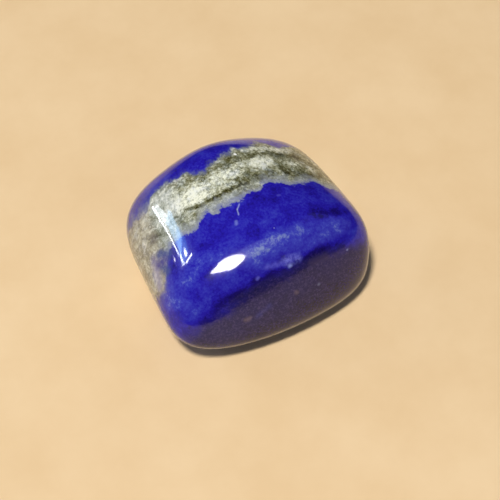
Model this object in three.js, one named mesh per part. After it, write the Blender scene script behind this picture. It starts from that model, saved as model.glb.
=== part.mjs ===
// Tumbled lapis lazuli: one polished pebble, a rounded block with a domed top and
// one broad sloping front.
//
// Tumbling wears a broken stone towards a handful of broad faces and rounds
// everything between them. The solid is built the same way: each worn face is
// a plane, and the planes are blended into one smooth convex skin. The
// underside has one small spot worn truly flat, and the stone rests on it.
//
// Frame: millimetres, +X along the stone's length, +Y across it, +Z up. The
// origin is on the table, below the middle of the stone.

import * as THREE from 'three';
import { mergeVertices } from 'three/addons/utils/BufferGeometryUtils.js';

// Where each worn face points and how far it lies from the stone's heart.
// Azimuth turns from +X towards +Y, elevation rises from the table; both in
// degrees. Distance is in millimetres.
const WORN_FACES = [
  { name: 'top', azimuth: -79, elevation: 80, distance: 8.3 },
  { name: 'underside', azimuth: 0, elevation: -90, distance: 8.3 },
  { name: 'front left slope', azimuth: -93, elevation: 28, distance: 7.9 },
  { name: 'front right slope', azimuth: -70, elevation: 31, distance: 8.3 },
  { name: 'front', azimuth: -68, elevation: 0, distance: 11.5 },
  { name: 'left shoulder', azimuth: -177, elevation: 56, distance: 10.4 },
  { name: 'left end', azimuth: -177, elevation: 5, distance: 15.5 },
  { name: 'back', azimuth: 98, elevation: 20, distance: 15.5 },
  { name: 'right shoulder', azimuth: 17, elevation: 59, distance: 9.5 },
  { name: 'right end', azimuth: 11, elevation: -14, distance: 13.1 },
  { name: 'front keel', azimuth: -92, elevation: -62, distance: 9.8 },
  { name: 'back keel', azimuth: 89, elevation: -38, distance: 12.2 },
  { name: 'left keel', azimuth: -171, elevation: -53, distance: 13.2 },
];

// How tightly the skin turns from one worn face to the next: 2 would give an
// egg, 50 a block with crisp edges.
const EDGE_CRISPNESS = 5.7;

// Depth of the flat resting spot below the stone's heart.
const RESTING_DEPTH = 7.9;

// Each of the twenty triangles of the starting icosahedron is split into
// (SURFACE_DETAIL + 1) squared smaller ones.
const SURFACE_DETAIL = 17;

const POLISHED_LAPIS = { color: 0x232a9c, roughness: 0.12, metalness: 0 };

/** The unit vector that a worn face points along. */
function faceDirection({ azimuth, elevation }) {
  const polarAngle = THREE.MathUtils.degToRad(90 - elevation);
  const turn = THREE.MathUtils.degToRad(azimuth);
  return new THREE.Vector3(
    Math.sin(polarAngle) * Math.cos(turn),
    Math.sin(polarAngle) * Math.sin(turn),
    Math.cos(polarAngle),
  );
}

/**
 * How far the skin lies from the stone's heart along a unit direction. Each
 * face pulls the skin in as far as the direction leans towards it. The pulls
 * add up as a power sum, so the nearest face rules and the rest only soften
 * the way from it to the next.
 */
function skinDistance(direction, faces) {
  let pull = 0;
  for (const { normal, distance } of faces) {
    const lean = Math.max(0, normal.dot(direction));
    pull += (lean / distance) ** EDGE_CRISPNESS;
  }
  const worn = pull ** (-1 / EDGE_CRISPNESS);
  if (direction.z >= 0) return worn;
  return Math.min(worn, RESTING_DEPTH / -direction.z);
}

/** The stone's closed skin, standing on z = 0 with its middle over the origin. */
function tumbledStone() {
  const faces = WORN_FACES.map((face) => ({
    normal: faceDirection(face),
    distance: face.distance,
  }));

  const ball = new THREE.IcosahedronGeometry(1, SURFACE_DETAIL);
  ball.deleteAttribute('normal');
  ball.deleteAttribute('uv');
  const geometry = mergeVertices(ball);

  const vertices = geometry.getAttribute('position');
  const direction = new THREE.Vector3();
  for (let i = 0; i < vertices.count; i += 1) {
    direction.fromBufferAttribute(vertices, i).normalize();
    const point = direction.clone().multiplyScalar(skinDistance(direction, faces));
    if (skinRests(point)) point.z = -RESTING_DEPTH;
    vertices.setXYZ(i, point.x, point.y, point.z);
  }

  geometry.computeBoundingBox();
  const { min, max } = geometry.boundingBox;
  geometry.translate(-(min.x + max.x) / 2, -(min.y + max.y) / 2, -min.z);
  geometry.computeVertexNormals();
  return geometry;
}

/** Whether a point of the skin belongs to the flat resting spot. */
function skinRests(point) {
  const roundingError = 1e-6;
  return point.z < -RESTING_DEPTH + roundingError;
}

const stone = new THREE.Mesh(tumbledStone(), new THREE.MeshStandardMaterial(POLISHED_LAPIS));
stone.name = 'stone';

const tumbledLapis = new THREE.Group();
tumbledLapis.add(stone);

export default tumbledLapis;
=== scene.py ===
"""A tumbled lapis lazuli: one polished stone of deep blue with a band of pale matrix across it.

The stone's skin is the same rule as its solid: thirteen worn faces whose pulls are summed, so that
they run into each other in soft ridges. A Geometry Nodes tree works the rule out on a fine ball.
"""

import logging
import math
from dataclasses import dataclass
from enum import Enum
from functools import cache, reduce
from typing import Any

import bpy
from mathutils import Matrix, Vector


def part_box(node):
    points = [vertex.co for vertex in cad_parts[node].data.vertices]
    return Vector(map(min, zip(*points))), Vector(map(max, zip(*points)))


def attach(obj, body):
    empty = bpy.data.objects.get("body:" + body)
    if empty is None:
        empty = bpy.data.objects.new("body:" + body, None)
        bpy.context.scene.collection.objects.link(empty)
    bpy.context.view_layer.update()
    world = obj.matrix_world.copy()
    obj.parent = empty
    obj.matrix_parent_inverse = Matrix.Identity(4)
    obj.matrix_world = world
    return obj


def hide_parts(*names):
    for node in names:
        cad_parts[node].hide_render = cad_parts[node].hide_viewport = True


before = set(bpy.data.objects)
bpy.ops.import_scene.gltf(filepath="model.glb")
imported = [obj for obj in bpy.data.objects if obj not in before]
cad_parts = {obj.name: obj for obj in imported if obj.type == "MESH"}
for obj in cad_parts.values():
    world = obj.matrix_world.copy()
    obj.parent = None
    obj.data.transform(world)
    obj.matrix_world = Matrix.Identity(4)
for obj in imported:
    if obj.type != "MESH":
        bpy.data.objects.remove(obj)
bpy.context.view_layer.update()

LOG = logging.getLogger("tumbled_lapis")

MM = 0.001
STONE_NODE = "stone"

Socket = bpy.types.NodeSocket
Point = tuple[float, float, float]
Rgba = tuple[float, float, float, float]
Ramp = tuple[tuple[float, Rgba], ...]
Span = tuple[float, float]


def linear(red: int, green: int, blue: int) -> Rgba:
    """Turns a screen colour into the linear colour that shaders take.

    Args:
        red, green, blue: The colour as it is seen on a screen, each from 0 to 255.

    Returns:
        The linear colour, with full alpha.
    """

    def channel(level: int) -> float:
        """Undoes the screen's curve for one channel."""
        share = level / 255
        return share / 12.92 if share <= 0.04045 else ((share + 0.055) / 1.055) ** 2.4

    return channel(red), channel(green), channel(blue), 1.0


def compass(azimuth: float, elevation: float) -> Vector:
    """Gives a direction from its compass angle and its angle above the table.

    Args:
        azimuth: Degrees from +X towards +Y.
        elevation: Degrees above the table.

    Returns:
        The unit vector that points there.
    """
    turn, rise = math.radians(azimuth), math.radians(elevation)
    return Vector((math.cos(turn) * math.cos(rise), math.sin(turn) * math.cos(rise), math.sin(rise)))


def turn_share(degrees: float) -> float:
    """Gives an angle of turn round the stone as the shaders' turn, from 0 to 1."""
    return 0.5 + degrees / 360


def blank_material(name: str) -> bpy.types.Material:
    """Makes a material with an empty node tree.

    Args:
        name: The material's name.

    Returns:
        The material.
    """
    made = bpy.data.materials.new(name)
    made.use_nodes = True
    made.node_tree.nodes.clear()
    return made


@dataclass(frozen=True)
class Cloud:
    """A cloudy value from 0 to 1, with lumps of a size in millimetres.

    Where it has levels, it is 0 below the first one and 1 above the second.
    """

    size: float
    detail: float
    roughness: float
    levels: Span | None = None


class NodeSheet:
    """A node tree on the drawing board, with a short call for each kind of node drawn on it."""

    def __init__(self, tree: bpy.types.NodeTree) -> None:
        """Takes the tree to draw on.

        Args:
            tree: The tree of a material or a node group.
        """
        self.tree = tree

    @classmethod
    def group(cls, name: str, kind: str, inputs: dict[str, str], outputs: dict[str, str]) -> "NodeSheet":
        """Starts a node group with named sockets.

        Args:
            name: The group's name.
            kind: ShaderNodeTree or GeometryNodeTree.
            inputs: What each input holds, such as Float or Vector, by its name.
            outputs: What each output holds, by its name.

        Returns:
            The sheet of the new group.
        """
        tree = bpy.data.node_groups.new(name, kind)
        for way, sockets in (("INPUT", inputs), ("OUTPUT", outputs)):
            for label, holds in sockets.items():
                tree.interface.new_socket(label, in_out=way, socket_type=f"NodeSocket{holds}")
        return cls(tree)

    def inputs(self) -> Any:
        """Gives a node group's inputs, by their names."""
        return self.add("NodeGroupInput").outputs

    def finished(self, **results: Socket) -> bpy.types.NodeTree:
        """Feeds a node group's outputs and gives the finished group."""
        self.add("NodeGroupOutput", results)
        return self.tree

    def feed(self, socket: Socket, value: Any) -> None:
        """Links a socket's value in, or sets it where it is a constant.

        Args:
            socket: The input that is fed.
            value: A node's output or a constant.
        """
        if isinstance(value, bpy.types.NodeSocket):
            self.tree.links.new(value, socket)
        else:
            socket.default_value = value

    def add(self, kind: str, feeds: dict[Any, Any] | None = None, **settings: Any) -> bpy.types.Node:
        """Adds a node.

        Args:
            kind: The node's type.
            feeds: A value or a socket for each input, by its name or its place.
            **settings: The node's own settings.

        Returns:
            The new node.
        """
        node = self.tree.nodes.new(kind)
        for name, value in settings.items():
            setattr(node, name, value)
        for place, value in (feeds or {}).items():
            self.feed(node.inputs[place], value)
        return node

    def use(self, group: bpy.types.NodeTree, feeds: dict[str, Any]) -> bpy.types.Node:
        """Places a node group on the sheet and feeds its inputs."""
        return self.add(group.bl_idname.replace("Tree", "Group"), feeds, node_tree=group)

    def math(self, operation: str, *values: Any) -> Socket:
        """Works out one number from one, two or three."""
        return self.add("ShaderNodeMath", dict(enumerate(values)), operation=operation).outputs[0]

    def times(self, *values: Any) -> Socket:
        """Multiplies two or more numbers."""
        return reduce(lambda result, value: self.math("MULTIPLY", result, value), values)

    def less(self, value: Any, amount: Any) -> Socket:
        """Takes an amount off a number."""
        return self.math("SUBTRACT", value, amount)

    def stretched(self, value: Any, factor: Any, base: Any) -> Socket:
        """Multiplies a number and puts the result on top of a base."""
        return self.math("MULTIPLY_ADD", value, factor, base)

    def total(self, *values: Any) -> Socket:
        """Adds up two or more numbers."""
        return reduce(lambda result, value: self.math("ADD", result, value), values)

    def vector(self, operation: str, *values: Any) -> Socket:
        """Works out a vector, or a number for a dot product or a length."""
        node = self.add("ShaderNodeVectorMath", dict(enumerate(values)), operation=operation)
        return node.outputs["Value" if operation in ("DOT_PRODUCT", "LENGTH", "DISTANCE") else "Vector"]

    def scaled(self, vector: Any, factor: Any) -> Socket:
        """Makes a vector longer or shorter."""
        return self.add("ShaderNodeVectorMath", {0: vector, 3: factor}, operation="SCALE").outputs[0]

    def ease(self, value: Any, start: Any, end: Any, low: Any = 0.0, high: Any = 1.0) -> Socket:
        """Eases smoothly from low at start to high at end; start may be the greater one."""
        feeds = {"Value": value, "From Min": start, "From Max": end, "To Min": low, "To Max": high}
        return self.add("ShaderNodeMapRange", feeds, interpolation_type="SMOOTHSTEP").outputs[0]

    def blend(self, factor: Any, first: Any, second: Any) -> Socket:
        """Mixes two numbers."""
        return self.add("ShaderNodeMix", {0: factor, 2: first, 3: second}).outputs[0]

    def paint(self, factor: Any, under: Any, over: Any) -> Socket:
        """Lays one colour over another, as far as the factor says."""
        return self.add("ShaderNodeMix", {0: factor, 6: under, 7: over}, data_type="RGBA").outputs[2]

    def cloud(self, cloud: Cloud, place: Socket) -> Socket:
        """Draws a cloud.

        Args:
            cloud: The cloud.
            place: A place, in millimetres.

        Returns:
            The cloud's value there.
        """
        feeds = {"Scale": 1 / cloud.size, "Detail": cloud.detail, "Roughness": cloud.roughness}
        value = self.add("ShaderNodeTexNoise", {"Vector": place} | feeds).outputs[0]
        return self.ease(value, *cloud.levels) if cloud.levels else value

    def curve(self, value: Socket, points: list[Span]) -> Socket:
        """Runs a value through a smooth curve.

        Args:
            value: The socket that is looked up, from 0 to 1.
            points: The curve's points, both numbers from 0 to 1, in order.

        Returns:
            The curve's height there.
        """
        node = self.add("ShaderNodeFloatCurve", {"Value": value})
        line = node.mapping.curves[0]
        for _ in points[2:]:
            line.points.new(0.5, 0.5)
        for point, place in zip(line.points, points):
            point.location = place
            point.handle_type = "AUTO_CLAMPED"
        node.mapping.update()
        return node.outputs[0]

    def ramp(self, value: Socket, stops: Ramp) -> Socket:
        """Turns a value into a colour.

        Args:
            value: The socket that is looked up, from 0 to 1.
            stops: The place and the colour of each stop, in order; the places may go past 1.

        Returns:
            The colour.
        """
        node = self.add("ShaderNodeValToRGB", {0: self.math("DIVIDE", value, stops[-1][0])})
        while len(node.color_ramp.elements) < len(stops):
            node.color_ramp.elements.new(1.0)
        for element, (place, tint) in zip(node.color_ramp.elements, stops):
            element.position = place / stops[-1][0]
            element.color = tint
        return node.outputs[0]


ACROSS_LOW = -16.0
ACROSS_HIGH = 16.0

# A line round the stone along its layers, as (degrees of turn, millimetres across). The turn is 0 on
# top, grows towards the right end and comes back underneath; across is measured towards the back.
Course = tuple[Span, ...]


@dataclass(frozen=True)
class TurnFade:
    """A fade round the stone, from 0 at one angle of turn to 1 at another, in degrees."""

    start: float
    end: float


@dataclass(frozen=True)
class Streak:
    """A paler or darker streak that runs along the stone's layers, from one turn to another."""

    name: str
    course: Course
    half_width: float
    tone: float
    start: float
    end: float


@dataclass(frozen=True)
class Mark:
    """A cloud, fleck or vein in the blue: everything within a distance of a short line."""

    name: str
    start: Point
    end: Point
    reach: float
    softness: float
    tint: Rgba
    strength: float
    mottling: float = 0.0


@dataclass(frozen=True)
class Patch:
    """A ragged patch that is paler or darker: everything within a distance of a short line."""

    name: str
    start: Point
    end: Point
    reach: float
    tone: float


HEART = (0.0, 0.0, 8.0)
LAYER_TILT = 5.0
LAYER_SWING = 7.0


def layer_group() -> bpy.types.NodeTree:
    """Builds the shader node group that turns a place in the stone into its place in the layers.

    Returns:
        The group. It gives the place in the layers' frame, its way across them and its turn.
    """
    sheet = NodeSheet.group(
        "Layer Coordinates", "ShaderNodeTree",
        {"Place": "Vector"}, {"Slab": "Vector", "Across": "Float", "Turn": "Float"},
    )
    slab = sheet.add("ShaderNodeMapping", {
        "Vector": sheet.inputs()["Place"], "Location": HEART,
        "Rotation": (math.radians(LAYER_TILT), 0.0, math.radians(LAYER_SWING)),
    }, vector_type="TEXTURE").outputs[0]
    parts = sheet.add("ShaderNodeSeparateXYZ", {0: slab}).outputs
    angle = sheet.math("ARCTAN2", parts["X"], parts["Z"])
    return sheet.finished(Slab=slab, Across=parts["Y"], Turn=sheet.stretched(angle, 0.5 / math.pi, 0.5))


MARK_DEPTH_SHARE = 0.85


@cache
def mark_group() -> bpy.types.NodeTree:
    """Builds the shader node group that gives how far a place lies within a mark.

    A mark runs down into the stone, so its distance is mostly measured along the skin.

    Returns:
        The group.
    """
    inputs = dict.fromkeys(("Place", "Start", "End"), "Vector")
    inputs |= dict.fromkeys(("Reach", "Softness", "Mottle", "Mottling"), "Float")
    sheet = NodeSheet.group("Mark in the Stone", "ShaderNodeTree", inputs, {"Mask": "Float"})
    given = sheet.inputs()
    axis = sheet.vector("SUBTRACT", given["End"], given["Start"])
    offset = sheet.vector("SUBTRACT", given["Place"], given["Start"])
    run = sheet.vector("DOT_PRODUCT", offset, axis)
    length = sheet.math("MAXIMUM", sheet.vector("DOT_PRODUCT", axis, axis), 1e-6)
    share = sheet.add("ShaderNodeClamp", {"Value": sheet.math("DIVIDE", run, length)}).outputs[0]
    away = sheet.vector("SUBTRACT", offset, sheet.scaled(axis, share))
    outward = sheet.vector("NORMALIZE", sheet.vector("SUBTRACT", given["Place"], HEART))
    depth = sheet.times(sheet.vector("DOT_PRODUCT", away, outward), MARK_DEPTH_SHARE)
    distance = sheet.vector("LENGTH", sheet.vector("SUBTRACT", away, sheet.scaled(outward, depth)))
    inner = sheet.times(given["Reach"], sheet.less(1.0, given["Softness"]))
    within = sheet.ease(distance, given["Reach"], inner)
    broken = sheet.blend(given["Mottling"], 1.0, given["Mottle"])
    return sheet.finished(Mask=sheet.times(within, broken))


CRYSTAL_SHARES = ((1.0, 0.6), (0.45, 0.5))
CRYSTAL_SHADE = 0.48
CRYSTAL_SEAM = 0.22
CRYSTAL_SEAM_REACH = (0.4, 0.8)


def crumb_group() -> bpy.types.NodeTree:
    """Builds the shader node group that gives a crumbly grain round 0.

    Returns:
        The group, with coarse and fine crystals of different shades and dark seams between them.
    """
    inputs = {"Place": "Vector", "Size": "Float"}
    sheet = NodeSheet.group("Crumbly Grain", "ShaderNodeTree", inputs, {"Grain": "Float"})
    given = sheet.inputs()
    crystals = []
    for size, share in CRYSTAL_SHARES:
        fineness = sheet.math("DIVIDE", 1.0 / size, given["Size"])
        cells = sheet.add("ShaderNodeTexVoronoi", {"Vector": given["Place"], "Scale": fineness}).outputs
        shade = sheet.add("ShaderNodeSeparateColor", {0: cells["Color"]}).outputs[0]
        seam = sheet.ease(cells["Distance"], *CRYSTAL_SEAM_REACH)
        lit = sheet.less(sheet.less(shade, CRYSTAL_SHADE), sheet.times(seam, CRYSTAL_SEAM))
        crystals.append(sheet.times(lit, share))
    return sheet.finished(Grain=sheet.total(*crystals))


UPPER_EDGE = (
    (-180, 8.8), (-120, 8.2), (-88, 7.9), (-73, 7.8), (-69, 8.9), (-60, 8.9), (-50, 8.4), (-44, 7.9),
    (-39, 8.3), (-33, 7.5), (-22, 6.7), (-17, 7.3), (-6, 7.5), (-1, 7.9), (9, 8.0), (13, 8.8),
    (20, 8.2), (38, 8.8), (48, 9.2), (56, 8.1), (59, 7.7), (70, 8.3), (95, 7.6), (130, 8.4), (180, 8.8),
)
LOWER_EDGE = (
    (-180, 1.6), (-150, 1.9), (-128, 1.0), (-110, -0.8), (-98, -1.9), (-91, -3.0), (-86, -3.1),
    (-83, -3.3), (-80, -2.9), (-77, -1.9), (-74, -0.9), (-71, -0.1), (-67, 0.5), (-55, 0.4), (-50, 0.0),
    (-42, 0.6), (-36, 1.3), (-31, 0.5), (-25, 0.9), (-8, 0.6), (-1, 1.1), (12, 1.2), (21, 1.8),
    (31, 1.4), (40, 0.8), (54, 0.6), (59, 0.9), (70, -0.7), (90, -0.2), (120, 1.3), (150, 2.1),
    (180, 1.6),
)
MATRIX_STREAKS = (
    Streak("cream", (
        (-180, 4.4), (-90, 3.6), (-66, 3.8), (-43, 4.2), (-14, 4.5), (5, 4.6), (30, 5.0), (42, 4.4),
        (56, 4.3), (63, 3.8), (120, 4.6), (180, 4.4),
    ), 1.3, 0.2, -70, 40),
    Streak("pale shoulder", (
        (-180, 6.0), (-84, 5.8), (-67, 7.4), (-49, 7.2), (180, 6.0),
    ), 1.1, 0.14, -92, -46),
    Streak("dark line", (
        (-180, 3.0), (-61, 3.4), (-48, 3.1), (-40, 2.75), (-31, 2.5), (-13, 2.6), (17, 2.5), (40, 3.0),
        (180, 3.0),
    ), 0.3, -0.38, -62, 4),
    Streak("cream round the left end", (
        (-180, 4.6), (-150, 4.2), (-125, 4.8), (-100, 3.4), (180, 4.6),
    ), 1.2, 0.16, -172, -96),
    Streak("dark line round the left end", (
        (-180, 3.0), (-150, 3.2), (-125, 2.7), (-105, 1.2), (-92, 0.6), (180, 3.0),
    ), 0.34, -0.3, -165, -94),
    Streak("olive by the back edge", (
        (-180, 7.2), (-150, 6.6), (-125, 7.0), (-100, 6.6), (180, 7.2),
    ), 0.7, -0.16, -172, -92),
    Streak("olive above", (
        (-180, 6.4), (0, 6.9), (24, 6.7), (44, 6.2), (58, 5.5), (69, 4.7), (76, 3.3), (120, 5.5),
        (180, 6.4),
    ), 1.0, -0.18, 60, 140),
    Streak("olive below", (
        (-180, 3.0), (20, 3.4), (39, 3.3), (47, 2.5), (58, 1.9), (70, 1.5), (120, 3.0), (180, 3.0),
    ), 0.85, -0.14, 30, 150),
)

MATRIX_PATCHES = (
    Patch("cream by the far edge", (2.6, 4.9, 15.9), (4.8, 5.4, 15.0), 1.0, 0.3),
    Patch("cream in the middle", (-3.3, 3.6, 16.3), (0.5, 3.9, 16.4), 0.8, 0.14),
    Patch("cream towards the left", (-8.8, 3.6, 13.8), (-5.4, 3.2, 15.5), 1.2, 0.31),
    Patch("cream ridge", (-8.2, 2.5, 14.2), (-4.9, 2.2, 15.8), 0.45, 0.3),
    Patch("pale spot", (7.2, 5.1, 13.8), (8.1, 4.7, 13.4), 0.55, 0.34),
    Patch("pale far edge", (1.8, 7.5, 15.7), (6.8, 7.5, 13.5), 0.6, 0.34),
    Patch("pale corner", (0.3, 8.0, 15.9), (1.6, 7.8, 15.7), 0.45, 0.24),
    Patch("olive by the cream", (-1.4, 5.5, 16.5), (2.4, 6.2, 15.9), 0.75, -0.2),
    Patch("olive at the far edge", (3.0, 6.5, 15.5), (9.2, 6.3, 12.4), 0.6, -0.22),
    Patch("olive gap", (5.6, 4.6, 14.7), (5.9, 2.9, 14.8), 0.8, -0.16),
    Patch("olive at the right", (6.2, 3.4, 14.5), (9.0, 2.9, 13.1), 0.8, -0.16),
    Patch("olive below the cream", (-0.4, 2.7, 16.4), (3.4, 2.6, 15.7), 1.0, -0.3),
    Patch("olive between the creams", (0.6, 4.4, 16.4), (1.2, 3.4, 16.3), 0.7, -0.22),
    Patch("olive on the left crest", (-5.9, 5.5, 15.4), (-3.6, 5.2, 16.2), 0.8, -0.22),
    Patch("grey shoulder", (-10.0, 6.3, 12.7), (-8.9, 5.4, 13.7), 1.1, 0.1),
    Patch("hollow in the tongue", (-10.9, 1.2, 12.1), (-12.0, 1.7, 11.0), 0.75, -0.26),
    Patch("thread in the tongue", (-12.0, 2.6, 11.0), (-10.9, 2.5, 12.1), 0.22, 0.3),
    Patch("pale spot in the tongue", (-12.9, 2.4, 9.9), (-12.9, 1.9, 9.9), 0.4, 0.3),
    Patch("pale tip of the tongue", (-13.0, -2.3, 9.4), (-13.5, -3.8, 8.2), 0.5, 0.4),
    Patch("pale side of the tongue", (-13.7, 0.3, 8.5), (-13.6, -0.9, 8.6), 0.4, 0.24),
)
# The first two streaks run along the ridge below the top: paler cloud in the lapis, with painted sheen
# where the polish would mirror a lit wall.
BLUE_STREAKS = (
    Streak("milky cloud with painted sheen", (
        (-180, -5.9), (-35, -6.1), (-2, -5.8), (14, -5.7), (180, -5.9),
    ), 1.4, 0.14, -30, 16),
    Streak("light cloud with painted sheen", (
        (-180, -6.0), (14, -6.2), (47, -6.2), (70, -5.6), (180, -6.0),
    ), 1.3, 0.13, 10, 76),
    Streak("dark above the cloud", ((-180, -4.4), (180, -4.2)), 0.5, -0.14, 40, 72),
    Streak("mottled far strip", ((-180, 9.9), (180, 9.9)), 0.9, 0.16, 8, 70),
)
# Of these patches, the one round the lamp's highlight is painted bloom, and the haze beside the tongue is
# painted sheen by the window's highlight. The milk and the wisp right of the highlight are paler cloud
# with painted sheen and bloom in it. The rest are clouds and deep spots in the blue.
BLUE_PATCHES = (
    Patch("cloud at the left", (-10.5, -6.1, 11.7), (-9.8, -6.9, 12.0), 1.2, 0.17),
    Patch("cloud beside the tongue", (-12.6, -5.2, 9.7), (-12.4, -7.2, 9.4), 1.4, 0.2),
    Patch("cloud low at the left", (-9.0, -9.2, 10.1), (-8.3, -8.6, 11.3), 1.0, 0.1),
    Patch("painted sheen beside the tongue", (-9.6, -4.6, 12.8), (-9.0, -5.6, 12.8), 1.6, 0.12),
    Patch("cloud at the front", (-6.0, -8.2, 12.2), (-4.6, -7.4, 13.4), 1.1, 0.06),
    Patch("pale corner at the left", (-11.6, -7.4, 10.0), (-10.6, -8.8, 9.6), 1.4, 0.13),
    Patch("deep blue above the cloud", (7.2, -3.5, 14.4), (8.0, -3.7, 14.0), 0.9, -0.12),
    Patch("deep blue at the right", (10.3, -3.2, 12.9), (12.2, -4.4, 11.6), 1.0, -0.14),
    Patch("cloud at the right", (9.6, -5.0, 12.2), (11.2, -5.6, 11.2), 1.4, 0.08),
    Patch("deep spot in the cloud", (8.6, -5.8, 12.7), (9.0, -6.1, 12.3), 0.6, -0.2),
    Patch("milky cloud with painted bloom by the lamp", (-1.4, -6.8, 14.1), (0.4, -6.5, 14.3), 1.3, 0.18),
    Patch("milky cloud with painted sheen further on", (0.6, -5.6, 14.8), (1.6, -5.8, 14.6), 0.9, 0.12),
    Patch("wisp of cloud with painted sheen", (3.2, -5.0, 14.8), (4.8, -5.6, 14.2), 0.9, 0.11),
    Patch("painted bloom round the lamp highlight", (-8.2, -5.2, 13.5), (-4.4, -5.4, 14.6), 1.4, 0.18),
)
# A dark band across the blue where the polish's reflection turns from the dim room to the table: painted
# dark reflection.
REFLECTED_HORIZON = (
    (-180, -8.6), (-95, -8.8), (-84, -8.8), (-79, -8.95), (-69, -8.7), (-56, -8.7), (-37, -8.6),
    (-19, -8.5), (5, -8.7), (18, -8.8), (28, -8.5), (36, -8.35), (44, -8.0), (52, -7.95), (61, -8.2),
    (71, -8.3), (77, -8.0), (180, -8.6),
)

PALE_FLECK = linear(168, 176, 222)
SOFT_FLECK = linear(136, 148, 220)
LILAC = linear(98, 98, 204)
PALE_LILAC = linear(116, 120, 214)
SLATE = linear(62, 74, 134)
DIM_VIOLET = linear(68, 62, 136)
LAVENDER = linear(150, 144, 176)
WARM_SPECK = linear(132, 108, 104)
DULL_PURPLE = linear(52, 42, 82)
# Near white, for a painted glint on the band.
PAINTED_GLINT = linear(250, 250, 246)
EDGE_MARKS = (
    Mark("lavender side of the tongue", (-12.8, -1.2, 10.0), (-13.1, -4.2, 9.2), 1.3, 1.0,
         LAVENDER, 0.75, 0.3),
    Mark("upper slate hollow", (-11.9, -0.8, 11.0), (-11.1, -1.8, 11.8), 1.0, 0.9, SLATE, 1.0, 0.3),
    Mark("lower slate hollow", (-12.1, -2.6, 10.7), (-11.8, -3.5, 11.0), 0.9, 0.9, SLATE, 1.0, 0.3),
    Mark("violet between the hollows", (-11.6, -2.1, 11.3), (-12.4, -1.8, 10.4), 1.0, 0.9,
         DIM_VIOLET, 0.95, 0.35),
    Mark("violet hollow in the tongue", (-12.7, -0.2, 10.1), (-12.8, -1.0, 10.0), 0.6, 1.0,
         DIM_VIOLET, 0.6, 0.6),
    Mark("slate fleck in the tongue", (-13.2, -2.0, 9.0), (-13.3, -3.0, 8.8), 0.45, 1.0, SLATE, 0.6, 0.6),
    # The last mark is a painted glint, a tiny highlight on the band.
    Mark("painted glint", (0.65, 6.82, 16.14), (0.65, 6.82, 16.14), 0.24, 0.5, PAINTED_GLINT, 1.0),
)
MARKS = (
    Mark("upper hair vein", (-1.49, -0.59, 16.16), (-1.89, -1.17, 16.06), 0.14, 0.8, PALE_FLECK, 0.5),
    Mark("lower hair vein", (-1.89, -1.17, 16.06), (-2.03, -1.91, 15.95), 0.14, 0.8, PALE_FLECK, 0.5),
    Mark("fleck by the vein", (-2.64, -2.72, 15.76), (-2.7, -3.0, 15.7), 0.34, 1.0, SOFT_FLECK, 0.5),
    Mark("lilac streak", (-0.6, -8.2, 12.6), (2.5, -8.0, 12.3), 0.6, 1.0, LILAC, 0.6, 0.5),
    Mark("lilac cloud", (1.9, -7.95, 12.4), (3.3, -7.85, 12.2), 0.95, 1.0, PALE_LILAC, 0.85, 0.85),
    Mark("front fleck", (2.2, -8.4, 11.8), (2.3, -8.35, 11.8), 0.42, 1.0, SOFT_FLECK, 0.85),
    Mark("small front fleck", (-2.1, -8.75, 11.75), (-2.0, -8.7, 11.8), 0.38, 1.0, LILAC, 0.7),
    Mark("right fleck", (10.2, -7.4, 10.0), (10.2, -7.4, 10.0), 0.2, 0.8, PALE_FLECK, 0.5),
    Mark("top fleck", (3.6, -0.6, 15.7), (3.8, -0.6, 15.6), 0.25, 0.8, LILAC, 0.3),
    Mark("fleck above the milky sheen", (1.5, -4.8, 15.2), (1.5, -4.8, 15.2), 0.15, 0.8, PALE_FLECK, 0.4),
    Mark("dull spot below the reflected horizon", (5.0, -8.35, 11.0), (7.2, -8.05, 10.9), 0.75, 1.0, DULL_PURPLE, 0.9),
    Mark("speck in the front layer", (5.6, -9.8, 8.1), (5.6, -9.8, 8.1), 0.3, 1.0, PALE_FLECK, 0.25),
    Mark("warm speck", (2.4, -10.2, 8.5), (2.5, -10.2, 8.4), 0.45, 1.0, WARM_SPECK, 0.3),
    Mark("pale speck at the front", (-4.5, -11.2, 7.4), (-4.0, -11.2, 7.4), 0.5, 1.0, WARM_SPECK, 0.35),
    Mark("lilac wisp at the front", (-2.8, -11.1, 7.4), (-1.2, -10.7, 8.1), 0.6, 1.0, LILAC, 0.16, 0.6),
)

WANDER = Cloud(1.4, 3.0, 0.6)
COARSE_RAGS = Cloud(1.1, 3.0, 0.6)
FINE_RAGS = Cloud(0.35, 2.0, 0.6)
MARK_MOTTLE = Cloud(0.5, 4.0, 0.75, (0.36, 0.64))
CLUMPS = Cloud(1.3, 6.0, 0.8)
CLUMP_LEVELS = (0.3, 0.65)
STREAK_BREAKS = Cloud(0.6, 4.0, 0.7, (0.3, 0.7))
WARM_CLOUDS = Cloud(1.1, 4.0, 0.7, (0.3, 0.58))
HALO_MOTTLE = Cloud(0.45, 3.0, 0.7, (0.35, 0.68))
BLUE_CLOUDS = Cloud(2.2, 4.0, 0.6)
BLUE_MOTTLE = Cloud(0.7, 4.0, 0.65, (0.2, 0.8))
BLUE_SPECKS = Cloud(0.3, 3.0, 0.7)
FRONT_DUST = Cloud(0.3, 3.0, 0.8, (0.44, 0.68))
POLISH_GRAIN = Cloud(0.22, 2.0, 0.6)

SHOULDER = TurnFade(-42, -60)
TONGUE = TurnFade(-70, -77)
LEFT_END = TurnFade(-76, -90)
HALO_SIDE = TurnFade(-66, -74)
MARGIN_GAP = (TurnFade(-14, -2), TurnFade(26, 14))
# Where the painted dark reflection of the horizon and the painted front shade fade out towards the ends.
HORIZON_LEFT_END = TurnFade(-78, -60)
HORIZON_RIGHT_END = TurnFade(80, 55)
FRONT_LEFT_END = TurnFade(-66, -86)

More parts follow.
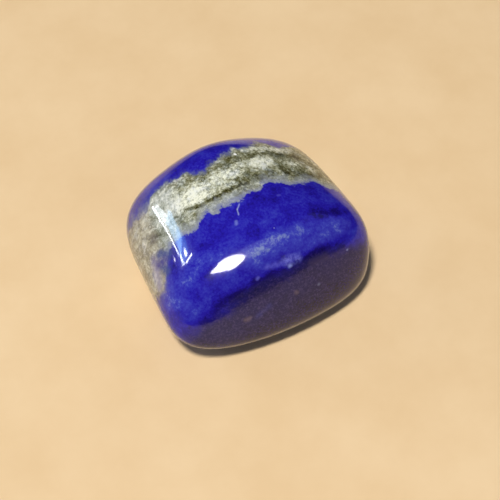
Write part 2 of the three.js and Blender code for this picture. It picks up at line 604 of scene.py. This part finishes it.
# How a place is bent before patches and marks are laid on it, as (size, swing) of the bends in mm.
PATCH_BENDS = ((1.1, 1.2), (0.4, 0.9))
CLOUD_BENDS = ((1.2, 1.1), (0.4, 0.3))
MARK_BENDS = ((1.0, 0.4),)
BEND_DETAIL = 2.0

# The band's edges. A pair is for most of the band and for its left end.
COARSE_SWING = (1.6, 2.8)
FINE_SWING = 0.7
EDGE_SOFTNESS = (0.16, 0.6)
FAR_EDGE_CRISPNESS = 0.5

PATCH_SPREAD = 1.3
STREAK_WAVE = 1.4
STREAK_RIM = 1.4
STREAK_CORE = 0.3
STREAK_FADE = 7.0


class LapisSheet(NodeSheet):
    """The sheet of the stone's finish, which starts from the place in the stone.

    Attributes:
        place: The place, in millimetres.
        slab: The place in the layers' frame.
        across: Its way across the layers, in millimetres.
        turn: Its way round the stone, from 0 to 1.
        wander: A cloudy value round 0.
        above: The place's depth within the band's far edge, in millimetres.
        below: Its depth within the band's near edge.
        inside: The lesser of the two, with the far one made crisper.
        tongue: How far it belongs to the band's left tongue.
        cover: How far the matrix hides the blue there.
    """

    def __init__(self, tree: bpy.types.NodeTree) -> None:
        """Draws the place in the stone, in its layers and in its band.

        Args:
            tree: The material's tree.
        """
        super().__init__(tree)
        self.place = self.scaled(self.add("ShaderNodeTexCoord").outputs["Object"], 1 / MM)
        layers = self.use(layer_group(), {"Place": self.place}).outputs
        self.slab, self.across, self.turn = layers["Slab"], layers["Across"], layers["Turn"]
        self.wander = self.swing(WANDER)
        coarse = self.times(self.swing(COARSE_RAGS), self.blend(self.fade(LEFT_END), *COARSE_SWING))
        worn = self.total(self.across, self.stretched(self.swing(FINE_RAGS), FINE_SWING, coarse))
        self.above = self.less(self.course(UPPER_EDGE), worn)
        self.below = self.less(worn, self.course(LOWER_EDGE))
        self.inside = self.math("MINIMUM", self.times(self.above, FAR_EDGE_CRISPNESS), self.below)
        self.tongue = self.fade(TONGUE)
        softness = self.blend(self.tongue, *EDGE_SOFTNESS)
        self.cover = self.ease(self.inside, self.times(softness, -1.0), softness)

    def swing(self, cloud: Cloud) -> Socket:
        """Gives a cloud in the layers as a swing to and fro round 0."""
        return self.less(self.cloud(cloud, self.slab), 0.5)

    def fade(self, fade: TurnFade) -> Socket:
        """Gives a fade round the stone."""
        return self.ease(self.turn, turn_share(fade.start), turn_share(fade.end))

    def course(self, course: Course) -> Socket:
        """Draws a course.

        Args:
            course: The course.

        Returns:
            How far across it runs at the place's turn, in millimetres.
        """
        span = ACROSS_HIGH - ACROSS_LOW
        shares = [(turn_share(degrees), (across - ACROSS_LOW) / span) for degrees, across in course]
        return self.stretched(self.curve(self.turn, shares), span, ACROSS_LOW)

    def bent(self, bends: tuple[Span, ...]) -> Socket:
        """Shifts the place a little to and fro, so that what is laid on it gets ragged outlines.

        Args:
            bends: The bends, each by its size and its swing in millimetres.

        Returns:
            The shifted place.
        """
        shifted = self.place
        for size, swing in bends:
            feeds = {"Vector": self.place, "Scale": 1 / size, "Detail": BEND_DETAIL}
            noise = self.add("ShaderNodeTexNoise", feeds).outputs["Color"]
            drift = self.vector("SUBTRACT", noise, (0.5, 0.5, 0.5))
            shifted = self.vector("ADD", shifted, self.scaled(drift, swing))
        return shifted

    def patched(self, bent: Socket, patches: tuple[Patch, ...], tone: Any) -> Socket:
        """Adds each patch's change to a tone.

        Args:
            bent: The place in the stone, bent to and fro.
            patches: The patches.
            tone: The tone before them.

        Returns:
            The tone with the patches in it.
        """
        for patch in patches:
            mask = self.use(mark_group(), {
                "Place": bent, "Start": patch.start, "End": patch.end,
                "Reach": patch.reach * PATCH_SPREAD, "Softness": 1.0,
            }).outputs["Mask"]
            tone = self.stretched(mask, patch.tone, tone)
        return tone

    def streaked(self, streaks: tuple[Streak, ...], strength: Any, tone: Socket) -> Socket:
        """Adds each streak's change to a tone.

        Args:
            streaks: The streaks.
            strength: How strongly they show at each place.
            tone: The tone before them.

        Returns:
            The tone with the streaks in it.
        """
        wavy = self.stretched(self.wander, STREAK_WAVE, self.across)
        for streak in streaks:
            off = self.math("ABSOLUTE", self.less(wavy, self.course(streak.course)))
            body = self.ease(off, streak.half_width * STREAK_RIM, streak.half_width * STREAK_CORE)
            starts = self.fade(TurnFade(streak.start - STREAK_FADE, streak.start + STREAK_FADE))
            ends = self.fade(TurnFade(streak.end + STREAK_FADE, streak.end - STREAK_FADE))
            tone = self.stretched(self.times(body, starts, ends, strength), streak.tone, tone)
        return tone

    def marked(self, marks: tuple[Mark, ...], colour: Socket) -> Socket:
        """Paints each mark over a colour.

        Args:
            marks: The marks.
            colour: The colour below them.

        Returns:
            The colour with the marks in it.
        """
        bent, mottle = self.bent(MARK_BENDS), self.cloud(MARK_MOTTLE, self.slab)
        for mark in marks:
            mask = self.use(mark_group(), {
                "Place": bent, "Start": mark.start, "End": mark.end, "Reach": mark.reach,
                "Softness": mark.softness, "Mottle": mottle, "Mottling": mark.mottling,
            }).outputs["Mask"]
            colour = self.paint(self.times(mask, mark.strength), colour, mark.tint)
        return colour


@dataclass(frozen=True)
class PolishedLapis:
    """Polished lapis: ultramarine with clouds and flecks, crossed by a grained band of matrix.

    Where a field holds two numbers, the first is for the start of a fade and the second for its end.
    """

    blue: Ramp = (
        (0.0, linear(16, 10, 58)),
        (0.25, linear(25, 15, 106)),
        (0.5, linear(38, 28, 164)),
        (0.75, linear(57, 62, 178)),
        (1.0, linear(116, 130, 186)),
    )
    blue_mean: float = -0.17
    cloud_contrast: float = 0.75
    speck_contrast: float = 0.6
    # How strongly the paler and darker clouds show, the painted sheen and bloom among them included.
    cloud_and_sheen_contrast: Span = (0.3, 1.7)
    # A painted dark reflection of the horizon, drawn as a dark band across the blue.
    horizon_wave: float = 0.9
    horizon_reach: Span = (0.9, 0.1)
    horizon_dark_tone: float = -0.33
    horizon_left_share: float = 0.45
    horizon_right_share: float = 0.4
    # The darker front below the horizon is partly darker lapis and partly painted shade. The shade
    # deepens towards the underside into a brownish painted reflection of the table. Its dust is grain.
    front_dark_blue_and_shade: Rgba = linear(9, 5, 54)
    front_shade_and_table_reflection: Rgba = linear(20, 11, 18)
    front_speck: Rgba = linear(76, 60, 104)
    front_start: float = -0.3
    front_fade: Span = (0.7, 1.1)
    front_shade_deepening: Span = (0.6, 4.0)
    front_depth_share: float = 0.85
    front_dust_share: float = 0.6
    front_share: float = 0.9
    matrix: Ramp = (
        (0.0, linear(44, 40, 16)),
        (0.2, linear(86, 83, 48)),
        (0.42, linear(128, 127, 96)),
        (0.62, linear(170, 170, 144)),
        (0.85, linear(216, 216, 192)),
        (1.1, linear(242, 242, 222)),
    )
    cool_matrix: Ramp = (
        (0.0, linear(46, 48, 32)),
        (0.2, linear(86, 88, 70)),
        (0.42, linear(125, 130, 118)),
        (0.62, linear(163, 169, 162)),
        (0.85, linear(206, 209, 204)),
        (1.1, linear(232, 233, 228)),
    )
    matrix_mean: float = 0.55
    clump_contrast: Span = (1.7, 1.3)
    streak_strength: Span = (0.5, 1.4)
    crumb_size: float = 0.34
    crumb_contrast: float = 0.3
    crumb_growth: float = 0.4
    shoulder_crumbs: float = 0.7
    shoulder_warmth: float = 0.35
    tongue_tint: Rgba = linear(168, 152, 152)
    tongue_share: float = 0.28
    margin_grey: Rgba = linear(154, 158, 164)
    margin_wave: float = 2.6
    margin_reach: Span = (1.9, 0.8)
    margin_in_gap: float = 0.3
    margin_warmth: float = 0.3
    margin_share: float = 0.45
    rim_grey: Rgba = linear(126, 131, 166)
    rim_reach: Span = (0.85, 0.15)
    rim_share: float = 0.85
    far_rim_grey: Rgba = linear(104, 112, 142)
    far_rim_reach: Span = (0.7, 0.0)
    far_rim_share: float = 0.8
    rim_on_clumps: Span = (1.0, 0.6)
    halo: Rgba = linear(84, 88, 142)
    halo_by_tongue: Span = (-1.6, 0.1)
    halo_beyond: Span = (-0.9, 0.1)
    halo_within: Span = (0.8, 0.2)
    halo_far_share: float = 0.8
    halo_share: Span = (0.25, 0.85)
    blue_roughness: float = 0.2
    matrix_roughness: float = 0.3
    coat_roughness: float = 0.055
    coat_bend: float = 1.45
    base_gloss: float = 0.08
    grain_strength: float = 0.12
    grain_height: float = 0.02

    def material(self) -> bpy.types.Material:
        """Builds the stone's material.

        Returns:
            The material.
        """
        made = blank_material("polished_lapis")
        sheet = LapisSheet(made.node_tree)
        blue = sheet.marked(MARKS, self.haloed(sheet, self.blue_colour(sheet)))
        colour = sheet.marked(EDGE_MARKS, sheet.paint(sheet.cover, blue, self.matrix_colour(sheet)))
        skin = sheet.add("ShaderNodeBsdfPrincipled", {
            "Base Color": colour,
            "Roughness": sheet.blend(sheet.cover, self.blue_roughness, self.matrix_roughness),
            "Coat Weight": 1.0,
            "Coat Roughness": self.coat_roughness,
            "Coat IOR": self.coat_bend,
            "Specular IOR Level": self.base_gloss,
            "Normal": self.grain_normal(sheet),
        })
        sheet.add("ShaderNodeOutputMaterial", {"Surface": skin.outputs[0]})
        return made

    def matrix_colour(self, sheet: LapisSheet) -> Socket:
        """Colours the matrix: crumbly, streaked along the band, and greyer by its edges.

        Args:
            sheet: The material's sheet.

        Returns:
            The matrix's colour.
        """
        clumps = sheet.cloud(CLUMPS, sheet.slab)
        shoulder = sheet.fade(SHOULDER)
        contrast = sheet.blend(shoulder, *self.clump_contrast)
        tone = sheet.stretched(sheet.less(clumps, 0.5), contrast, self.matrix_mean)
        strength = sheet.blend(sheet.cloud(STREAK_BREAKS, sheet.slab), *self.streak_strength)
        tone = sheet.streaked(MATRIX_STREAKS, strength, tone)
        tone = sheet.patched(sheet.bent(PATCH_BENDS), MATRIX_PATCHES, tone)
        crumbs = sheet.use(crumb_group(), {"Place": sheet.slab, "Size": self.crumb_size}).outputs["Grain"]
        contrast = sheet.stretched(tone, self.crumb_growth, self.crumb_contrast)
        contrast = sheet.times(contrast, sheet.blend(shoulder, 1.0, self.shoulder_crumbs))
        tone = sheet.stretched(crumbs, contrast, tone)
        gap = sheet.times(*map(sheet.fade, MARGIN_GAP))
        margin = sheet.times(
            sheet.ease(sheet.stretched(sheet.wander, self.margin_wave, sheet.below), *self.margin_reach),
            sheet.less(1.0, sheet.tongue),
            sheet.blend(gap, 1.0, self.margin_in_gap),
        )
        warmth = sheet.times(
            sheet.cloud(WARM_CLOUDS, sheet.slab),
            sheet.blend(sheet.less(shoulder, sheet.tongue), 1.0, self.shoulder_warmth),
            sheet.blend(margin, 1.0, self.margin_warmth),
        )
        colour = sheet.paint(warmth, sheet.ramp(tone, self.cool_matrix), sheet.ramp(tone, self.matrix))
        colour = sheet.paint(sheet.times(sheet.tongue, self.tongue_share), colour, self.tongue_tint)
        colour = sheet.paint(sheet.times(margin, self.margin_share), colour, self.margin_grey)
        return self.rimmed(sheet, clumps, colour)

    def rimmed(self, sheet: LapisSheet, clumps: Socket, colour: Socket) -> Socket:
        """Lays the lilac grey of the band's two rims over the matrix.

        Args:
            sheet: The material's sheet.
            clumps: A cloudy value from 0 to 1 that breaks up the rims.
            colour: The matrix's colour.

        Returns:
            The matrix's colour with its rims.
        """
        patchy = sheet.ease(clumps, *CLUMP_LEVELS, *self.rim_on_clumps)
        near_patches = sheet.blend(sheet.tongue, patchy, 0.0)
        near = sheet.times(sheet.ease(sheet.below, *self.rim_reach), near_patches, self.rim_share)
        far = sheet.times(sheet.ease(sheet.above, *self.far_rim_reach), patchy, self.far_rim_share)
        return sheet.paint(far, sheet.paint(near, colour, self.rim_grey), self.far_rim_grey)

    def haloed(self, sheet: LapisSheet, blue: Socket) -> Socket:
        """Lets the band's grey run out into the blue beyond its far edge and round its left tongue.

        Args:
            sheet: The material's sheet.
            blue: The blue's colour.

        Returns:
            The blue with the grey in it.
        """
        by_tongue = sheet.times(sheet.fade(HALO_SIDE), sheet.ease(sheet.inside, *self.halo_by_tongue))
        beyond = sheet.ease(sheet.above, *self.halo_beyond)
        by_far_edge = sheet.times(beyond, sheet.ease(sheet.above, *self.halo_within), self.halo_far_share)
        mottle = sheet.blend(sheet.cloud(HALO_MOTTLE, sheet.place), *self.halo_share)
        shown = sheet.times(sheet.math("MAXIMUM", by_tongue, by_far_edge), mottle)
        return sheet.paint(shown, blue, self.halo)

    def blue_colour(self, sheet: LapisSheet) -> Socket:
        """Colours the blue: clouded and streaked, with painted sheen and bloom in some clouds, a painted
        dark reflection of the horizon, and a darker front below it that is partly painted shade.

        Args:
            sheet: The material's sheet.

        Returns:
            The blue's colour.
        """
        specks = sheet.cloud(BLUE_SPECKS, sheet.place)
        # Paler and darker clouds in the blue, some of them painted sheen and painted bloom round the
        # highlights.
        lights = sheet.patched(sheet.bent(CLOUD_BENDS), BLUE_PATCHES, 0.0)
        lights = sheet.streaked(BLUE_STREAKS, 1.0, lights)
        contrast = sheet.blend(sheet.cloud(BLUE_MOTTLE, sheet.place), *self.cloud_and_sheen_contrast)
        tone = sheet.stretched(sheet.cloud(BLUE_CLOUDS, sheet.place), self.cloud_contrast, self.blue_mean)
        tone = sheet.stretched(specks, self.speck_contrast, tone)
        tone = sheet.stretched(lights, contrast, tone)
        # Painted dark reflection: a band darkened along a wavy line where the mirrored room meets the
        # mirrored table, fainter at both ends.
        wavy = sheet.stretched(sheet.wander, self.horizon_wave, sheet.across)
        past = sheet.less(sheet.course(REFLECTED_HORIZON), wavy)
        seam = sheet.times(
            sheet.ease(sheet.math("ABSOLUTE", past), *self.horizon_reach),
            sheet.blend(sheet.fade(HORIZON_RIGHT_END), self.horizon_right_share, 1.0),
            sheet.blend(sheet.fade(HORIZON_LEFT_END), self.horizon_left_share, 1.0),
        )
        tone = sheet.stretched(seam, self.horizon_dark_tone, tone)
        # Below the horizon, a darker front: partly darker lapis, partly painted shade that deepens
        # towards the underside into a brownish painted reflection of the table.
        rough = sheet.total(specks, sheet.less(past, 0.5))
        fade = sheet.blend(sheet.fade(FRONT_LEFT_END), *self.front_fade)
        front = sheet.times(sheet.ease(rough, self.front_start, fade), self.front_share)
        deep = sheet.times(sheet.ease(rough, *self.front_shade_deepening), self.front_depth_share)
        dust = sheet.times(sheet.cloud(FRONT_DUST, sheet.place), self.front_dust_share)
        layer = sheet.paint(deep, self.front_dark_blue_and_shade, self.front_shade_and_table_reflection)
        layer = sheet.paint(dust, layer, self.front_speck)
        return sheet.paint(front, sheet.ramp(tone, self.blue), layer)

    def grain_normal(self, sheet: LapisSheet) -> Socket:
        """Gives the faint grain that shows below the polish.

        Args:
            sheet: The material's sheet.

        Returns:
            The normal.
        """
        height = sheet.cloud(POLISH_GRAIN, sheet.place)
        feeds = {"Height": height, "Strength": self.grain_strength, "Distance": self.grain_height * MM}
        return sheet.add("ShaderNodeBump", feeds).outputs[0]


@dataclass(frozen=True)
class WornFace:
    """One face that tumbling wore, by the way it looks out and its distance from the heart, in mm."""

    name: str
    azimuth: float
    elevation: float
    distance: float


WORN_FACES = (
    WornFace("top", -79, 80, 8.3),
    WornFace("underside", 0, -90, 8.3),
    WornFace("front left slope", -93, 28, 7.9),
    WornFace("front right slope", -70, 31, 8.3),
    WornFace("front", -68, 0, 11.5),
    WornFace("left shoulder", -177, 56, 10.4),
    WornFace("left end", -177, 5, 15.5),
    WornFace("back", 98, 20, 15.5),
    WornFace("right shoulder", 17, 59, 9.5),
    WornFace("right end", 11, -14, 13.1),
    WornFace("front keel", -92, -62, 9.8),
    WornFace("back keel", 89, -38, 12.2),
    WornFace("left keel", -171, -53, 13.2),
)


@dataclass
class TumbledStone:
    """The stone itself: worn faces that blend into each other round one heart."""

    faces: tuple[WornFace, ...] = WORN_FACES
    crispness: float = 5.7
    resting_depth: float = 7.9
    ball_divisions: int = 7
    finish: PolishedLapis = PolishedLapis()

    def face_pull(self) -> bpy.types.NodeTree:
        """Builds the node group that gives one face's pull on the skin in a direction.

        Returns:
            The group.
        """
        sheet = NodeSheet.group(
            "Worn Face Pull", "GeometryNodeTree",
            {
                "Direction": "Vector", "Face Direction": "Vector",
                "Face Distance": "Float", "Crispness": "Float",
            },
            {"Pull": "Float"},
        )
        given = sheet.inputs()
        towards = sheet.vector("DOT_PRODUCT", given["Direction"], given["Face Direction"])
        near = sheet.math("DIVIDE", towards, given["Face Distance"])
        outward = sheet.math("MAXIMUM", near, 0.0)
        return sheet.finished(Pull=sheet.math("POWER", outward, given["Crispness"]))

    def skin_tree(self) -> bpy.types.NodeTree:
        """Builds the tree that wears a fine ball down to the stone's skin and fits it to its box.

        Returns:
            The tree, with named inputs for the faces' distances and the other sizes.
        """
        inputs = {f"{face.name} distance": "Float" for face in self.faces}
        inputs |= {
            "Crispness": "Float", "Resting Depth": "Float",
            "Box Low": "Vector", "Box High": "Vector", "Finish": "Material",
        }
        sheet = NodeSheet.group("Tumbled Skin", "GeometryNodeTree", inputs, {"Stone": "Geometry"})
        given = sheet.inputs()
        size = {"Radius": 1.0, "Subdivisions": self.ball_divisions}
        ball = sheet.add("GeometryNodeMeshIcoSphere", size).outputs["Mesh"]
        direction = sheet.vector("NORMALIZE", sheet.add("GeometryNodeInputPosition").outputs[0])
        group = self.face_pull()
        pulls = [
            sheet.use(group, {
                "Direction": direction, "Face Direction": compass(face.azimuth, face.elevation),
                "Face Distance": given[f"{face.name} distance"], "Crispness": given["Crispness"],
            }).outputs["Pull"]
            for face in self.faces
        ]
        root = sheet.math("DIVIDE", -1.0, given["Crispness"])
        reach = sheet.math("POWER", sheet.total(*pulls), root)
        downward = sheet.times(sheet.add("ShaderNodeSeparateXYZ", {0: direction}).outputs["Z"], -1.0)
        to_table = sheet.math("DIVIDE", given["Resting Depth"], sheet.math("MAXIMUM", downward, 1e-4))
        place = sheet.scaled(direction, sheet.math("MINIMUM", reach, to_table))
        worn = sheet.add("GeometryNodeSetPosition", {"Geometry": ball, "Position": place})
        corners = sheet.add("GeometryNodeBoundBox", {"Geometry": worn.outputs[0]}).outputs
        here = sheet.add("GeometryNodeInputPosition").outputs[0]
        share = sheet.vector(
            "DIVIDE",
            sheet.vector("SUBTRACT", here, corners["Min"]),
            sheet.vector("SUBTRACT", corners["Max"], corners["Min"]),
        )
        box_size = sheet.vector("SUBTRACT", given["Box High"], given["Box Low"])
        fitted = sheet.vector("MULTIPLY_ADD", share, box_size, given["Box Low"])
        stone = worn.outputs[0]
        for kind, feeds in (
            ("GeometryNodeSetPosition", {"Position": fitted}),
            ("GeometryNodeSetShadeSmooth", {"Shade Smooth": True}),
            ("GeometryNodeRealizeInstances", {}),
            ("GeometryNodeSetMaterial", {"Material": given["Finish"]}),
        ):
            stone = sheet.add(kind, {"Geometry": stone} | feeds).outputs[0]
        return sheet.finished(Stone=stone)

    def build(self) -> bpy.types.Object:
        """Makes the stone as a plain mesh, in its finish.

        Returns:
            The stone's object, at the origin, with its place in its mesh.
        """
        piece = bpy.data.objects.new("tumbled_lapis", bpy.data.meshes.new("tumbled_lapis"))
        bpy.context.scene.collection.objects.link(piece)
        low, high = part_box(STONE_NODE)
        finish = self.finish.material()
        values = {f"{face.name} distance": face.distance * MM for face in self.faces}
        values |= {
            "Crispness": self.crispness, "Resting Depth": self.resting_depth * MM,
            "Box Low": low, "Box High": high, "Finish": finish,
        }
        skin = piece.modifiers.new("tumbled skin", "NODES")
        skin.node_group = self.skin_tree()
        for item in skin.node_group.interface.items_tree:
            if item.in_out == "INPUT":
                skin[item.identifier] = values[item.name]
        piece.update_tag()
        graph = bpy.context.evaluated_depsgraph_get()
        mesh = bpy.data.meshes.new_from_object(piece.evaluated_get(graph), depsgraph=graph)
        mesh.name = "tumbled_lapis_skin"
        piece.modifiers.remove(skin)
        blank = piece.data
        piece.data = mesh
        bpy.data.meshes.remove(blank)
        return piece

    def dress(self, piece: bpy.types.Object) -> None:
        """Makes the stone stand for its solid: hangs it on the root body and hides the solid.

        Args:
            piece: The stone's object.
        """
        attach(piece, "root")
        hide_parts(STONE_NODE)


TABLE_CLOUDS = Cloud(14.0, 4.0, 0.6)


@dataclass
class Tabletop:
    """The plain pale top that the stone is shown on."""

    side: float = 2.4
    shades: Ramp = ((0.35, linear(232, 198, 150)), (0.65, linear(238, 206, 160)))
    roughness: float = 0.7

    def build(self) -> bpy.types.Object:
        """Makes the table top.

        Returns:
            The table top's object.
        """
        half = self.side / 2
        corners = [(-half, -half, 0), (half, -half, 0), (half, half, 0), (-half, half, 0)]
        mesh = bpy.data.meshes.new("tabletop")
        mesh.from_pydata(corners, [], [(0, 1, 2, 3)])
        top = bpy.data.objects.new("tabletop", mesh)
        bpy.context.scene.collection.objects.link(top)
        mesh.materials.append(self.material())
        return top

    def material(self) -> bpy.types.Material:
        """Builds the table top's matt, faintly clouded finish.

        Returns:
            The material.
        """
        made = blank_material("pale_tabletop")
        sheet = NodeSheet(made.node_tree)
        place = sheet.scaled(sheet.add("ShaderNodeTexCoord").outputs["Object"], 1 / MM)
        colour = sheet.ramp(sheet.cloud(TABLE_CLOUDS, place), self.shades)
        top = sheet.add("ShaderNodeBsdfPrincipled", {"Base Color": colour, "Roughness": self.roughness})
        sheet.add("ShaderNodeOutputMaterial", {"Surface": top.outputs[0]})
        return made


class LampShape(Enum):
    """The outlines a lamp can have."""

    ROUND = "ELLIPSE"
    PANEL = "RECTANGLE"


@dataclass(frozen=True)
class Lamp:
    """A soft lamp, by where it hangs as seen from the stone.

    Its width and height are angles in degrees, its roll turns its width up from level, and its
    brightness is its radiance. A mirrored lamp only shows in the polish, and any other only lights.
    """

    name: str
    azimuth: float
    elevation: float
    width: float
    height: float
    brightness: float
    roll: float = 0.0
    tint: tuple[float, float, float] = (1.0, 1.0, 1.0)
    shape: LampShape = LampShape.PANEL
    mirrored: bool = True
    distance: float = 0.8

    def hang(self, stone_heart: Vector) -> None:
        """Hangs the lamp in its place, facing the stone.

        Args:
            stone_heart: The place that it faces, in metres.
        """
        outward = compass(self.azimuth, self.elevation)
        level = Vector((-math.sin(math.radians(self.azimuth)), math.cos(math.radians(self.azimuth)), 0))
        along = Matrix.Rotation(math.radians(self.roll), 3, outward) @ level
        axes = Matrix((along, outward.cross(along), outward)).transposed()
        lamp = bpy.data.lights.new(self.name, "AREA")
        lamp.shape = self.shape.value
        lamp.size = 2 * self.distance * math.tan(math.radians(self.width / 2))
        lamp.size_y = 2 * self.distance * math.tan(math.radians(self.height / 2))
        roundness = math.pi / 4 if self.shape is LampShape.ROUND else 1.0
        lamp.energy = self.brightness * math.pi * lamp.size * lamp.size_y * roundness
        lamp.color = self.tint
        fitting = bpy.data.objects.new(self.name, lamp)
        fitting.matrix_world = Matrix.Translation(stone_heart + outward * self.distance) @ axes.to_4x4()
        fitting.visible_glossy = self.mirrored
        fitting.visible_diffuse = not self.mirrored
        bpy.context.scene.collection.objects.link(fitting)


LAMPLIGHT = (1.0, 0.98, 0.96)
SKY = (0.38, 0.66, 1.0)
PALE_SKY = (0.87, 0.94, 1.0)
LAMPS = (
    Lamp("soft_key", -135, 71, 7, 7, 204.0, mirrored=False),
    Lamp("window_fill", 142, 28, 24, 24, 1.6, tint=PALE_SKY, mirrored=False),
    Lamp("room_lamp", -102.7, 50, 30, 18, 30.0, roll=-35, tint=LAMPLIGHT, shape=LampShape.ROUND),
    Lamp("room_lamp_tip", -115.5, 49, 18, 9, 26.0, roll=-5, tint=LAMPLIGHT, shape=LampShape.ROUND),
    Lamp("room_lamp_end", -92, 43, 12, 16, 30.0, tint=LAMPLIGHT, shape=LampShape.ROUND),
    Lamp("lamp_bloom", -76, 52, 36, 22, 0.8, roll=-8, tint=(0.9, 0.93, 1.0), shape=LampShape.ROUND),
    Lamp("lit_wall", -38, 34, 80, 44, 0.2, tint=(0.86, 0.92, 1.0)),
    Lamp("far_edge_of_the_table", -62, 2.0, 60, 4.5, 0.16, tint=(1.0, 0.95, 0.92)),
    Lamp("left_wall_low", 165, 5, 110, 12, 0.3, tint=(1.0, 0.92, 0.88)),
    Lamp("left_wall", 178, 13, 100, 34, 0.2, tint=(1.0, 0.96, 0.94)),
    Lamp("window_sill_far", 140.2, 12.7, 9.2, 0.9, 34.0, roll=39, tint=PALE_SKY),
    Lamp("window_sill_near", 147.1, 19.0, 9.4, 0.6, 42.0, roll=51, tint=PALE_SKY),
    Lamp("window_low", 139.8, 14.4, 5.6, 3.4, 14.0, roll=47, tint=PALE_SKY),
    Lamp("window_middle", 143.0, 18.3, 4.4, 3.4, 15.0, roll=47, tint=PALE_SKY),
    Lamp("window_soft", 145.8, 23.8, 7.8, 5.4, 11.0, roll=47, tint=SKY),
    Lamp("sky_behind", 150.5, 28.0, 9.0, 9.0, 5.0, tint=(0.12, 0.4, 1.0), shape=LampShape.ROUND),
    Lamp("pane_low", 152.7, 25.2, 4.5, 1.3, 42.0, roll=27, tint=PALE_SKY),
    Lamp("pane_side", 155.6, 34.4, 7.2, 1.7, 42.0, roll=-67, tint=PALE_SKY),
    Lamp("pane_middle", 151.2, 30.0, 4.1, 1.9, 42.0, roll=47, tint=PALE_SKY),
    Lamp("pane_tick", 156.4, 27.4, 4.8, 0.9, 36.0, roll=90, tint=PALE_SKY),
    Lamp("pane_speck", 151.0, 17.1, 0.9, 0.9, 32.0),
)


@dataclass
class Studio:
    """The lamps, the dim room round them and the camera."""

    stone_heart: Point = (0.81, -2.455, 7.9)
    aim: Point = (-0.58, -1.98, 7.9)
    camera_azimuth: float = -20.0
    camera_elevation: float = 55.0
    camera_distance: float = 183.454
    lens: float = 105.67
    sensor: float = 36.0
    nearest: float = 10.0
    room_tint: Rgba = (0.9, 0.95, 1.0, 1.0)
    room_brightness: float = 0.09

    def light(self) -> None:
        """Hangs the lamps and sets the dim room, which the polish doesn't mirror."""
        heart = Vector(self.stone_heart) * MM
        for lamp in LAMPS:
            lamp.hang(heart)
        room = bpy.data.worlds.new("dim_room")
        room.use_nodes = True
        backdrop = room.node_tree.nodes["Background"]
        backdrop.inputs["Color"].default_value = self.room_tint
        backdrop.inputs["Strength"].default_value = self.room_brightness
        room.cycles_visibility.glossy = False
        bpy.context.scene.world = room
        bpy.context.scene.view_settings.view_transform = "Standard"

    def shoot(self) -> bpy.types.Object:
        """Sets the camera at its angle above the table.

        Returns:
            The camera's object.
        """
        view = bpy.data.cameras.new("camera")
        view.lens = self.lens
        view.sensor_width = self.sensor
        view.clip_start = self.nearest * MM
        turn, rise = math.radians(self.camera_azimuth), math.radians(self.camera_elevation)
        back = Vector((math.sin(turn) * math.cos(rise), -math.cos(turn) * math.cos(rise), math.sin(rise)))
        camera = bpy.data.objects.new("camera", view)
        place = (Vector(self.aim) + back * self.camera_distance) * MM
        facing = back.to_track_quat("Z", "Y").to_matrix()
        camera.matrix_world = Matrix.Translation(place) @ facing.to_4x4()
        bpy.context.scene.collection.objects.link(camera)
        bpy.context.scene.camera = camera
        return camera


def main() -> None:
    """Builds the stone, the table top and the studio, and says what was built."""
    logging.basicConfig(level=logging.INFO, format="%(name)s: %(message)s")
    stone = TumbledStone()
    piece = stone.build()
    stone.dress(piece)
    LOG.info("%s: %d faces", piece.name, len(piece.data.polygons))
    LOG.info("%s: stage", Tabletop().build().name)
    studio = Studio()
    studio.light()
    LOG.info("%s: %d lamps", studio.shoot().name, len(LAMPS))


if __name__ == "__main__":
    main()
